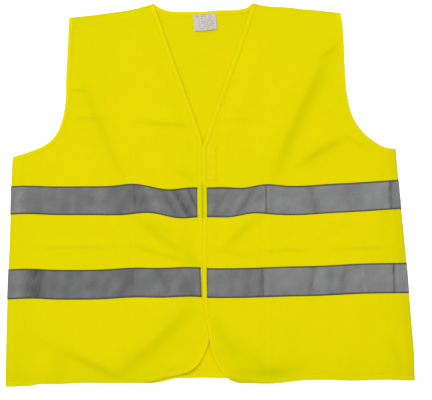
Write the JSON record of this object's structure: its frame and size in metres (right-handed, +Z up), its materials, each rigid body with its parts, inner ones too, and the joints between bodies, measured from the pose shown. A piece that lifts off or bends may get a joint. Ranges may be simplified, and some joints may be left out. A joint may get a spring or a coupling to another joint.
{
  "type": "high visibility vest",
  "caption": "Sleeveless fluorescent yellow safety vest with a V neck, grey reflective bands round the body, bound edges and open fronts, lying flat face up.",
  "frame": {"origin": "under the middle of the vest as it lies on its back on a table, on the table's surface", "axes": "+X across the vest, +Y from the hem to the neck, +Z up, out through the fronts; left means -X"},
  "size_m": [0.714, 0.6631, 0.0039],
  "materials": {
    "fluorescent_knit": "matte",
    "edge_tape": "matte",
    "reflective_tape": "satin",
    "label_satin": "satin",
    "loop_tape": "matte",
    "hook_tape": "matte"
  },
  "bodies": {
    "root": {"back_panel": "fluorescent_knit", "back_neck_binding": "edge_tape", "back_hem_binding": "edge_tape", "upper_band_back": "reflective_tape", "lower_band_back": "reflective_tape", "left_side_panel": "fluorescent_knit", "left_side_hem_binding": "edge_tape", "left_armhole_binding": "edge_tape", "left_side_seam": "fluorescent_knit", "left_shoulder_seam": "fluorescent_knit", "upper_band_left_side": "reflective_tape", "lower_band_left_side": "reflective_tape", "right_side_panel": "fluorescent_knit", "right_side_hem_binding": "edge_tape", "right_armhole_binding": "edge_tape", "right_side_seam": "fluorescent_knit", "right_shoulder_seam": "fluorescent_knit", "upper_band_right_side": "reflective_tape", "lower_band_right_side": "reflective_tape"},
    "label": {"neck_label": "label_satin"},
    "left_front": {"left_front_panel": "fluorescent_knit", "left_front_binding": "edge_tape", "upper_band_left_front": "reflective_tape", "lower_band_left_front": "reflective_tape", "hook_patch": "hook_tape"},
    "right_front": {"right_front_panel": "fluorescent_knit", "right_front_binding": "edge_tape", "upper_band_right_front": "reflective_tape", "lower_band_right_front": "reflective_tape", "loop_patch": "loop_tape"}
  },
  "joints": [
    {"name": "left_front_fold", "type": "hinge", "parent": "root", "child": "left_front", "pos_m": [-0.088, 0.331, 0.0054], "axis": [-0.1376, -0.9905, 0], "range_deg": [0, 170]},
    {"name": "right_front_fold", "type": "hinge", "parent": "root", "child": "right_front", "pos_m": [0.088, 0.331, 0.0054], "axis": [-0.1376, 0.9905, 0], "range_deg": [0, 170]},
    {"name": "label_flip", "type": "hinge", "parent": "root", "child": "label", "pos_m": [0, 0.3107, 0.0026], "axis": [-1, 0, 0], "range_deg": [0, 160]}
  ]
}
